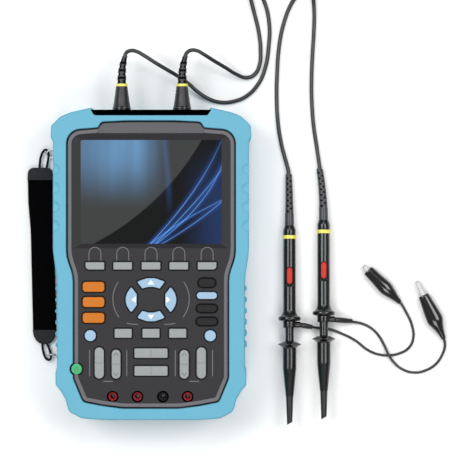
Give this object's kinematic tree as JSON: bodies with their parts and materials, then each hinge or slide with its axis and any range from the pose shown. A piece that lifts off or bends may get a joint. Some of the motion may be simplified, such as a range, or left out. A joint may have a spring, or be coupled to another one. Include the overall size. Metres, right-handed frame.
{
  "type": "handheld oscilloscope",
  "caption": "Handheld oscilloscope in a rubber sleeve with a colour display, keypad, meter jacks, hand strap and tilt stand, lying on its back with two passive probes plugged in",
  "frame": {"origin": "middle of the case's flat back, on the table", "axes": "+Z out of the screen, +Y from the meter jacks towards the probe sockets, +X to the right across the keypad"},
  "size_m": [0.3491, 0.4216, 0.0533],
  "materials": {
    "sleeve": "satin moulded rubber",
    "case": "fine matte texture",
    "window": "clear",
    "display": "smooth",
    "board": "solder mask",
    "battery": "shrink wrap",
    "jacks": "moulded",
    "grey_key": "matte silicone",
    "orange_key": "matte silicone",
    "blue_key": "matte silicone",
    "dark_key": "matte silicone",
    "power_key": "matte silicone",
    "strap": "woven",
    "nickel": "nickel plated",
    "cable": "satin",
    "probe": "glossy moulded",
    "slider": "moulded",
    "clip": "glossy vinyl"
  },
  "bodies": {
    "instrument": {"rubber_sleeve": "sleeve", "front_case": "case", "rear_case": "case", "battery_cover": "case", "display_window": "window", "lcd_module": "display", "main_board": "board", "battery_pack": "battery", "jack_block": "jacks", "plug_boot_1": "cable", "plug_boot_2": "cable", "cable_out_1": "cable", "cable_out_2": "cable", "cable_back_1": "cable", "cable_back_2": "cable", "cable_coil": "cable", "ground_lead_1": "cable", "ground_lead_2": "cable", "probe_barrel_1": "probe", "probe_barrel_2": "probe", "clip_body_1": "clip", "clip_body_2": "clip"},
    "attenuator_1": {"attenuator_switch_1": "slider"},
    "collar_1": {"bnc_collar_1": "nickel"},
    "jaw_1": {"clip_jaw_1": "nickel"},
    "sheath_1": {"hook_sheath_1": "probe"},
    "attenuator_2": {"attenuator_switch_2": "slider"},
    "collar_2": {"bnc_collar_2": "nickel"},
    "jaw_2": {"clip_jaw_2": "nickel"},
    "sheath_2": {"hook_sheath_2": "probe"},
    "strap": {"hand_strap": "strap"},
    "stand": {"tilt_stand": "case"},
    "key_rocker_1_body": {"key_rocker_1": "grey_key"},
    "key_rocker_2_body": {"key_rocker_2": "grey_key"},
    "key_rocker_3_body": {"key_rocker_3": "grey_key"},
    "key_rocker_4_body": {"key_rocker_4": "grey_key"},
    "key_wide_1_body": {"key_wide_1": "grey_key"},
    "key_wide_2_body": {"key_wide_2": "grey_key"},
    "key_soft_1_body": {"key_soft_1": "grey_key"},
    "key_soft_2_body": {"key_soft_2": "grey_key"},
    "key_soft_3_body": {"key_soft_3": "grey_key"},
    "key_soft_4_body": {"key_soft_4": "grey_key"},
    "key_soft_5_body": {"key_soft_5": "grey_key"},
    "key_mid_1_body": {"key_mid_1": "grey_key"},
    "key_mid_2_body": {"key_mid_2": "grey_key"},
    "key_mid_3_body": {"key_mid_3": "grey_key"},
    "key_mode_1_body": {"key_mode_1": "orange_key"},
    "key_mode_2_body": {"key_mode_2": "orange_key"},
    "key_mode_3_body": {"key_mode_3": "orange_key"},
    "key_up_body": {"key_up": "blue_key"},
    "key_down_body": {"key_down": "blue_key"},
    "key_left_body": {"key_left": "blue_key"},
    "key_right_body": {"key_right": "blue_key"},
    "key_select_body": {"key_select": "blue_key"},
    "key_round_left_body": {"key_round_left": "blue_key"},
    "key_round_right_body": {"key_round_right": "blue_key"},
    "key_menu_body": {"key_menu": "dark_key"},
    "key_run_body": {"key_run": "dark_key"},
    "key_zoom_body": {"key_zoom": "dark_key"},
    "key_power_body": {"key_power": "power_key"}
  },
  "joints": [
    {"name": "attenuator_slide_1", "type": "slide", "parent": "instrument", "child": "attenuator_1", "axis": [0, -0.9985, 0.0549], "range_m": [0, 0.0022]},
    {"name": "attenuator_slide_2", "type": "slide", "parent": "instrument", "child": "attenuator_2", "axis": [0, -0.9985, 0.0549], "range_m": [0, 0.0022]},
    {"name": "bnc_collar_turn_1", "type": "hinge", "parent": "instrument", "child": "collar_1", "pos_m": [-0.0249, 0.126, 0.027], "axis": [0, 1, 0], "range_deg": [0, 90]},
    {"name": "bnc_collar_turn_2", "type": "hinge", "parent": "instrument", "child": "collar_2", "pos_m": [0.0249, 0.126, 0.027], "axis": [0, 1, 0], "range_deg": [0, 90]},
    {"name": "clip_jaw_open_1", "type": "hinge", "parent": "instrument", "child": "jaw_1", "pos_m": [0.19356, -0.01916, 0.0092], "axis": [0.7071, 0.7071, 0], "range_deg": [0, 28], "stiffness_Nm_per_rad": 0.05, "springref_deg": -11.46},
    {"name": "clip_jaw_open_2", "type": "hinge", "parent": "instrument", "child": "jaw_2", "pos_m": [0.23515, -0.04587, 0.0092], "axis": [0.9033, 0.4289, 0], "range_deg": [0, 28], "stiffness_Nm_per_rad": 0.05, "springref_deg": -11.46},
    {"name": "hand_strap_swing", "type": "hinge", "parent": "instrument", "child": "strap", "pos_m": [-0.0802, 0, 0.008], "axis": [0, 1, 0], "range_deg": [0, 80]},
    {"name": "hook_sheath_slide_1", "type": "slide", "parent": "instrument", "child": "sheath_1", "axis": [0, 0.9985, -0.0549], "range_m": [0, 0.006], "stiffness_N_per_m": 150, "springref_m": -0.01},
    {"name": "hook_sheath_slide_2", "type": "slide", "parent": "instrument", "child": "sheath_2", "axis": [0, 0.9985, -0.0549], "range_m": [0, 0.006], "stiffness_N_per_m": 150, "springref_m": -0.01},
    {"name": "stand_fold", "type": "hinge", "parent": "instrument", "child": "stand", "pos_m": [0, 0.1, 0.0022], "axis": [1, 0, 0], "range_deg": [0, 60]},
    {"name": "key_rocker_1_rock", "type": "hinge", "parent": "instrument", "child": "key_rocker_1_body", "pos_m": [-0.0422, -0.0799, 0.045], "axis": [1, 0, 0], "range_deg": [-3.2, 3.2], "stiffness_Nm_per_rad": 0.03},
    {"name": "key_rocker_2_rock", "type": "hinge", "parent": "instrument", "child": "key_rocker_2_body", "pos_m": [-0.0285, -0.0809, 0.045], "axis": [1, 0, 0], "range_deg": [-3.2, 3.2], "stiffness_Nm_per_rad": 0.03},
    {"name": "key_rocker_3_rock", "type": "hinge", "parent": "instrument", "child": "key_rocker_3_body", "pos_m": [0.0271, -0.081, 0.045], "axis": [1, 0, 0], "range_deg": [-3.2, 3.2], "stiffness_Nm_per_rad": 0.03},
    {"name": "key_rocker_4_rock", "type": "hinge", "parent": "instrument", "child": "key_rocker_4_body", "pos_m": [0.0411, -0.0799, 0.045], "axis": [1, 0, 0], "range_deg": [-3.2, 3.2], "stiffness_Nm_per_rad": 0.03},
    {"name": "key_wide_1_rock", "type": "hinge", "parent": "instrument", "child": "key_wide_1_body", "pos_m": [0, -0.0719, 0.045], "axis": [0, 1, 0], "range_deg": [-3.2, 3.2], "stiffness_Nm_per_rad": 0.03},
    {"name": "key_wide_2_rock", "type": "hinge", "parent": "instrument", "child": "key_wide_2_body", "pos_m": [0, -0.0864, 0.045], "axis": [0, 1, 0], "range_deg": [-3.2, 3.2], "stiffness_Nm_per_rad": 0.03},
    {"name": "key_soft_1_press", "type": "slide", "parent": "instrument", "child": "key_soft_1_body", "axis": [0, 0, -1], "range_m": [0, 0.0011], "stiffness_N_per_m": 400, "springref_m": -0.0004},
    {"name": "key_soft_2_press", "type": "slide", "parent": "instrument", "child": "key_soft_2_body", "axis": [0, 0, -1], "range_m": [0, 0.0011], "stiffness_N_per_m": 400, "springref_m": -0.0004},
    {"name": "key_soft_3_press", "type": "slide", "parent": "instrument", "child": "key_soft_3_body", "axis": [0, 0, -1], "range_m": [0, 0.0011], "stiffness_N_per_m": 400, "springref_m": -0.0004},
    {"name": "key_soft_4_press", "type": "slide", "parent": "instrument", "child": "key_soft_4_body", "axis": [0, 0, -1], "range_m": [0, 0.0011], "stiffness_N_per_m": 400, "springref_m": -0.0004},
    {"name": "key_soft_5_press", "type": "slide", "parent": "instrument", "child": "key_soft_5_body", "axis": [0, 0, -1], "range_m": [0, 0.0011], "stiffness_N_per_m": 400, "springref_m": -0.0004},
    {"name": "key_mid_1_press", "type": "slide", "parent": "instrument", "child": "key_mid_1_body", "axis": [0, 0, -1], "range_m": [0, 0.0011], "stiffness_N_per_m": 400, "springref_m": -0.0004},
    {"name": "key_mid_2_press", "type": "slide", "parent": "instrument", "child": "key_mid_2_body", "axis": [0, 0, -1], "range_m": [0, 0.0011], "stiffness_N_per_m": 400, "springref_m": -0.0004},
    {"name": "key_mid_3_press", "type": "slide", "parent": "instrument", "child": "key_mid_3_body", "axis": [0, 0, -1], "range_m": [0, 0.0011], "stiffness_N_per_m": 400, "springref_m": -0.0004},
    {"name": "key_mode_1_press", "type": "slide", "parent": "instrument", "child": "key_mode_1_body", "axis": [0, 0, -1], "range_m": [0, 0.0011], "stiffness_N_per_m": 400, "springref_m": -0.0004},
    {"name": "key_mode_2_press", "type": "slide", "parent": "instrument", "child": "key_mode_2_body", "axis": [0, 0, -1], "range_m": [0, 0.0011], "stiffness_N_per_m": 400, "springref_m": -0.0004},
    {"name": "key_mode_3_press", "type": "slide", "parent": "instrument", "child": "key_mode_3_body", "axis": [0, 0, -1], "range_m": [0, 0.0011], "stiffness_N_per_m": 400, "springref_m": -0.0004},
    {"name": "key_up_press", "type": "slide", "parent": "instrument", "child": "key_up_body", "axis": [0, 0, -1], "range_m": [0, 0.0011], "stiffness_N_per_m": 400, "springref_m": -0.0004},
    {"name": "key_down_press", "type": "slide", "parent": "instrument", "child": "key_down_body", "axis": [0, 0, -1], "range_m": [0, 0.0011], "stiffness_N_per_m": 400, "springref_m": -0.0004},
    {"name": "key_left_press", "type": "slide", "parent": "instrument", "child": "key_left_body", "axis": [0, 0, -1], "range_m": [0, 0.0011], "stiffness_N_per_m": 400, "springref_m": -0.0004},
    {"name": "key_right_press", "type": "slide", "parent": "instrument", "child": "key_right_body", "axis": [0, 0, -1], "range_m": [0, 0.0011], "stiffness_N_per_m": 400, "springref_m": -0.0004},
    {"name": "key_select_press", "type": "slide", "parent": "instrument", "child": "key_select_body", "axis": [0, 0, -1], "range_m": [0, 0.0011], "stiffness_N_per_m": 400, "springref_m": -0.0004},
    {"name": "key_round_left_press", "type": "slide", "parent": "instrument", "child": "key_round_left_body", "axis": [0, 0, -1], "range_m": [0, 0.0011], "stiffness_N_per_m": 400, "springref_m": -0.0004},
    {"name": "key_round_right_press", "type": "slide", "parent": "instrument", "child": "key_round_right_body", "axis": [0, 0, -1], "range_m": [0, 0.0011], "stiffness_N_per_m": 400, "springref_m": -0.0004},
    {"name": "key_menu_press", "type": "slide", "parent": "instrument", "child": "key_menu_body", "axis": [0, 0, -1], "range_m": [0, 0.0011], "stiffness_N_per_m": 400, "springref_m": -0.0004},
    {"name": "key_run_press", "type": "slide", "parent": "instrument", "child": "key_run_body", "axis": [0, 0, -1], "range_m": [0, 0.0011], "stiffness_N_per_m": 400, "springref_m": -0.0004},
    {"name": "key_zoom_press", "type": "slide", "parent": "instrument", "child": "key_zoom_body", "axis": [0, 0, -1], "range_m": [0, 0.0011], "stiffness_N_per_m": 400, "springref_m": -0.0004},
    {"name": "key_power_press", "type": "slide", "parent": "instrument", "child": "key_power_body", "axis": [0, 0, -1], "range_m": [0, 0.0011], "stiffness_N_per_m": 400, "springref_m": -0.0004}
  ]
}
